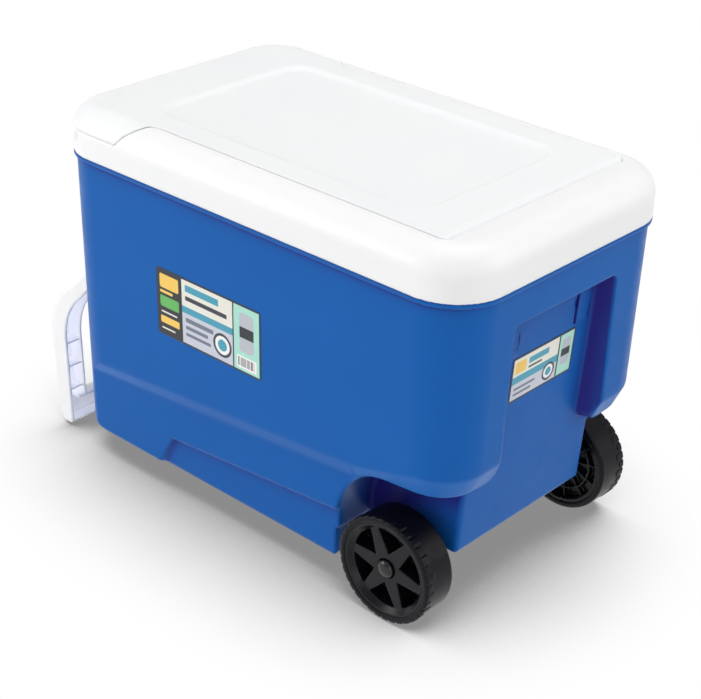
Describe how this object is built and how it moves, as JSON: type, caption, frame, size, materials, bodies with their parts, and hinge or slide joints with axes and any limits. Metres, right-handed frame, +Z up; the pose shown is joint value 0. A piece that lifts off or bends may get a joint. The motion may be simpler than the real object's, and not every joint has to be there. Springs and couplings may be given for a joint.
{
  "type": "wheeled cooler",
  "caption": "Rectangular insulated ice chest with a hinged inset lid, two wheels under one end and a swing-up tow handle at the other.",
  "frame": {"origin": "on the floor, under the middle of the object's overall length with the tow handle hanging", "axes": "+X along the length towards the wheel end, +Y to the cooler's left side seen from the handle end, +Z up"},
  "size_m": [0.612, 0.336, 0.4165],
  "materials": {
    "blue_shell": "satin",
    "white_liner": "satin",
    "white_lid": "matte",
    "white_handle": "satin",
    "insulating_foam": "matte",
    "plated_steel": "satin",
    "black_plastic": "satin",
    "black_tread": "matte",
    "cap_plastic": "satin",
    "bush_plastic": "satin",
    "printed_label": "gloss"
  },
  "bodies": {
    "cooler_body": {"outer_shell": "blue_shell", "inner_liner": "white_liner", "foam_core": "insulating_foam", "lid_hinge_pin_left": "plated_steel", "lid_hinge_pin_right": "plated_steel", "handle_pin_left": "plated_steel", "handle_pin_right": "plated_steel", "axle": "plated_steel", "axle_spacer_left": "black_plastic", "axle_spacer_right": "black_plastic", "axle_washer_left": "plated_steel", "axle_washer_right": "plated_steel", "hub_cap_left": "cap_plastic", "hub_cap_right": "cap_plastic", "side_label": "printed_label", "end_label": "printed_label"},
    "lid": {"lid_top": "white_lid", "lid_underside": "white_liner", "lid_foam": "insulating_foam"},
    "tow_handle": {"tow_handle": "white_handle"},
    "wheel_left": {"wheel_left": "black_plastic", "tyre_left": "black_tread", "wheel_bush_left": "bush_plastic"},
    "wheel_right": {"wheel_right": "black_plastic", "tyre_right": "black_tread", "wheel_bush_right": "bush_plastic"}
  },
  "joints": [
    {"name": "lid_hinge", "type": "hinge", "parent": "cooler_body", "child": "lid", "pos_m": [0.252, 0, 0.407], "axis": [0, 1, 0], "range_deg": [0, 95]},
    {"name": "handle_hinge", "type": "hinge", "parent": "cooler_body", "child": "tow_handle", "pos_m": [-0.222, 0, 0.218], "axis": [0, 1, 0], "range_deg": [0, 100]},
    {"name": "wheel_left_spin", "type": "hinge", "parent": "cooler_body", "child": "wheel_left", "pos_m": [0.2268, 0.145, 0.058], "axis": [0, 1, 0], "continuous": true},
    {"name": "wheel_right_spin", "type": "hinge", "parent": "cooler_body", "child": "wheel_right", "pos_m": [0.2268, -0.145, 0.058], "axis": [0, 1, 0], "continuous": true}
  ]
}
